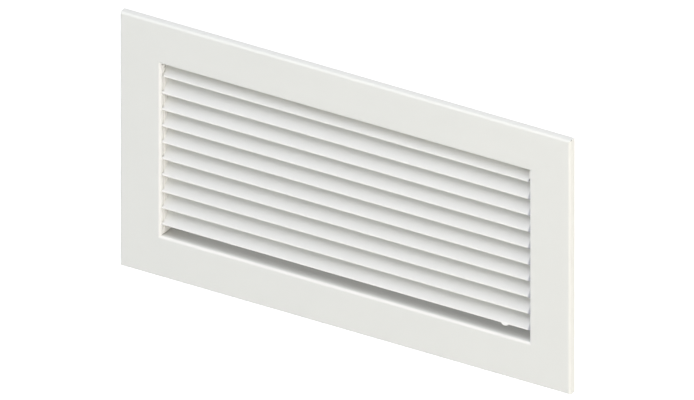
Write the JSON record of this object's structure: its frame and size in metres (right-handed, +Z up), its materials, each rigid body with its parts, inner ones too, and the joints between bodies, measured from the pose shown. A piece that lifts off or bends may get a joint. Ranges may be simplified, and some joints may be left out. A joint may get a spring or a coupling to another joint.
{
  "type": "return air grille",
  "caption": "Rectangular return air grille: flat white border with rounded edges round a top-hinged core of fixed slanted blades, and a neck that enters the duct.",
  "frame": {"origin": "middle of the window and of the neck, on the wall plane that the border's lip and foam tape rest on", "axes": "+X along the width to the viewer's right, +Y from the face into the wall and duct, +Z up"},
  "size_m": [0.3492, 0.038, 0.1968],
  "materials": {
    "face_enamel": "satin white enamel on pressed steel",
    "blade_enamel": "satin white enamel on folded steel strip",
    "core_enamel": "satin white enamel on steel strip",
    "neck_enamel": "satin white enamel on folded steel strip",
    "foam": "closed-cell foam tape",
    "pin_steel": "zinc-plated steel",
    "spring_steel": "hardened spring steel"
  },
  "bodies": {
    "frame": {"face_frame": "face_enamel", "duct_neck": "neck_enamel", "foam_top": "foam", "foam_bottom": "foam", "foam_left": "foam", "foam_right": "foam", "hinge_pin_left": "pin_steel", "hinge_pin_right": "pin_steel", "catch_spring": "spring_steel", "catch_rivet": "pin_steel"},
    "louvre_core": {"core_rail_left": "core_enamel", "core_rail_right": "core_enamel", "support_comb": "core_enamel", "louvre_blade_01": "blade_enamel", "louvre_blade_02": "blade_enamel", "louvre_blade_03": "blade_enamel", "louvre_blade_04": "blade_enamel", "louvre_blade_05": "blade_enamel", "louvre_blade_06": "blade_enamel", "louvre_blade_07": "blade_enamel", "louvre_blade_08": "blade_enamel", "louvre_blade_09": "blade_enamel", "louvre_blade_10": "blade_enamel"}
  },
  "joints": [
    {"name": "core_hinge", "type": "hinge", "parent": "frame", "child": "louvre_core", "pos_m": [0, -0.00151, 0.06348], "axis": [-1, 0, 0], "range_deg": [0, 90]}
  ]
}
